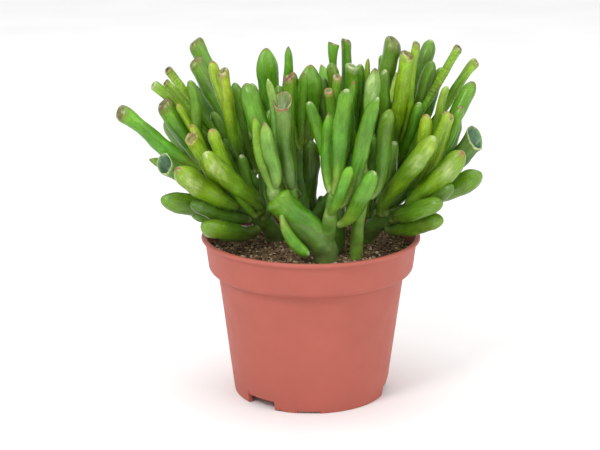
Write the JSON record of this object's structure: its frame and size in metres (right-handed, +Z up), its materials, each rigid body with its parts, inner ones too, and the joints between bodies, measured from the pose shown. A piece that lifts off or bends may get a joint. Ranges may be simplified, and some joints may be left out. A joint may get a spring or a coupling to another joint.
{
  "type": "potted jade plant",
  "caption": "Finger-leaved jade plant with upright tubular leaves on forked green stems, growing in peat soil in a round terracotta-coloured plastic nursery pot with a deep rim band.",
  "frame": {"origin": "centre of the pot's flat underside, on the pot's axis, in the plane that the pot stands on", "axes": "+Z up along the pot's axis, +X to the right and -Y towards the viewer when the plant is seen from its front"},
  "size_m": [0.1954, 0.1329, 0.1958],
  "materials": {
    "pot": "matte",
    "soil": "matte",
    "stem": "satin",
    "leaf": "satin"
  },
  "bodies": {
    "root": {"pot": "pot", "soil": "soil", "stem_front": "stem", "stem_side": "stem", "stem_left": "stem", "stem_right": "stem", "stem_centre": "stem", "stem_back_left": "stem", "stem_back_right": "stem", "leaf_left_1": "leaf", "leaf_left_2": "leaf", "leaf_left_3": "leaf", "leaf_left_4": "leaf", "leaf_left_5": "leaf", "leaf_left_6": "leaf", "leaf_left_7": "leaf", "leaf_left_8": "leaf", "leaf_left_9": "leaf", "leaf_left_10": "leaf", "leaf_left_11": "leaf", "leaf_left_12": "leaf", "leaf_left_13": "leaf", "leaf_middle_1": "leaf", "leaf_middle_2": "leaf", "leaf_middle_3": "leaf", "leaf_middle_4": "leaf", "leaf_middle_5": "leaf", "leaf_middle_6": "leaf", "leaf_middle_7": "leaf", "leaf_middle_8": "leaf", "leaf_middle_9": "leaf", "leaf_middle_10": "leaf", "leaf_middle_11": "leaf", "leaf_middle_12": "leaf", "leaf_middle_13": "leaf", "leaf_middle_14": "leaf", "leaf_middle_15": "leaf", "leaf_middle_16": "leaf", "leaf_right_1": "leaf", "leaf_right_2": "leaf", "leaf_right_3": "leaf", "leaf_right_4": "leaf", "leaf_right_5": "leaf", "leaf_right_6": "leaf", "leaf_right_7": "leaf", "leaf_right_8": "leaf", "leaf_right_9": "leaf", "leaf_right_10": "leaf", "leaf_right_11": "leaf", "leaf_right_12": "leaf", "leaf_right_13": "leaf", "leaf_right_14": "leaf", "leaf_back_1": "leaf", "leaf_back_2": "leaf", "leaf_back_3": "leaf", "leaf_back_4": "leaf", "leaf_back_5": "leaf", "leaf_back_6": "leaf", "leaf_back_7": "leaf", "leaf_back_8": "leaf"}
  },
  "joints": []
}
